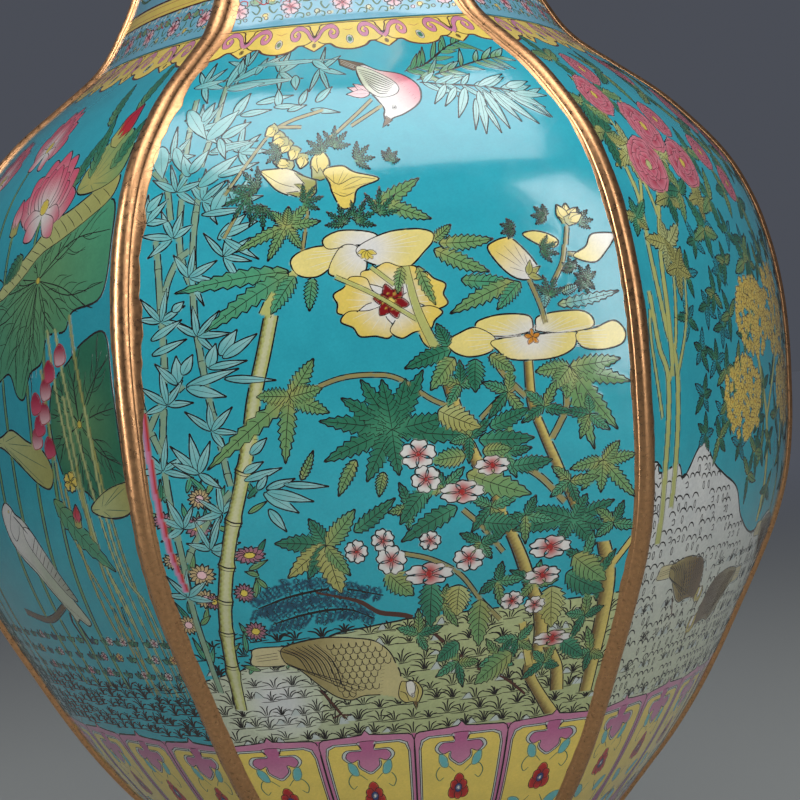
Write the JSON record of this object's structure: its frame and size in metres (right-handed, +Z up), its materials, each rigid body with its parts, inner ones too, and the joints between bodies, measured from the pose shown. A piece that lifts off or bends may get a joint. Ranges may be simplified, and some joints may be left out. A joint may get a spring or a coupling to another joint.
{
  "type": "hexagonal porcelain vase",
  "caption": "Six-sided baluster vase in enamelled porcelain with gilt corner ribs, painted garden panels, a tall flared neck and a spreading foot.",
  "frame": {"origin": "centre of the foot ring's tread, on the surface that the vase stands on", "axes": "+Z up along the vase's axis; the front panel faces -Y; +X is to the right when seen from the front"},
  "size_m": [0.1796, 0.1642, 0.36],
  "materials": {
    "turquoise_enamel": "glossy enamel over glaze",
    "pale_blue_enamel": "glossy enamel over glaze",
    "gilding": "worn burnished gilding over ceramic"
  },
  "bodies": {
    "root": {"body_panel_front": "turquoise_enamel", "body_panel_front_right": "turquoise_enamel", "body_panel_back_right": "turquoise_enamel", "body_panel_back": "turquoise_enamel", "body_panel_back_left": "turquoise_enamel", "body_panel_front_left": "turquoise_enamel", "neck_panel_front": "pale_blue_enamel", "neck_panel_front_right": "pale_blue_enamel", "neck_panel_back_right": "pale_blue_enamel", "neck_panel_back": "pale_blue_enamel", "neck_panel_back_left": "pale_blue_enamel", "neck_panel_front_left": "pale_blue_enamel", "foot_panel_front": "turquoise_enamel", "foot_panel_front_right": "turquoise_enamel", "foot_panel_back_right": "turquoise_enamel", "foot_panel_back": "turquoise_enamel", "foot_panel_back_left": "turquoise_enamel", "foot_panel_front_left": "turquoise_enamel", "corner_rib_front_right": "gilding", "corner_rib_right": "gilding", "corner_rib_back_right": "gilding", "corner_rib_back_left": "gilding", "corner_rib_left": "gilding", "corner_rib_front_left": "gilding", "lip_rim": "gilding", "foot_ring": "gilding", "base_plate": "turquoise_enamel"}
  },
  "joints": []
}
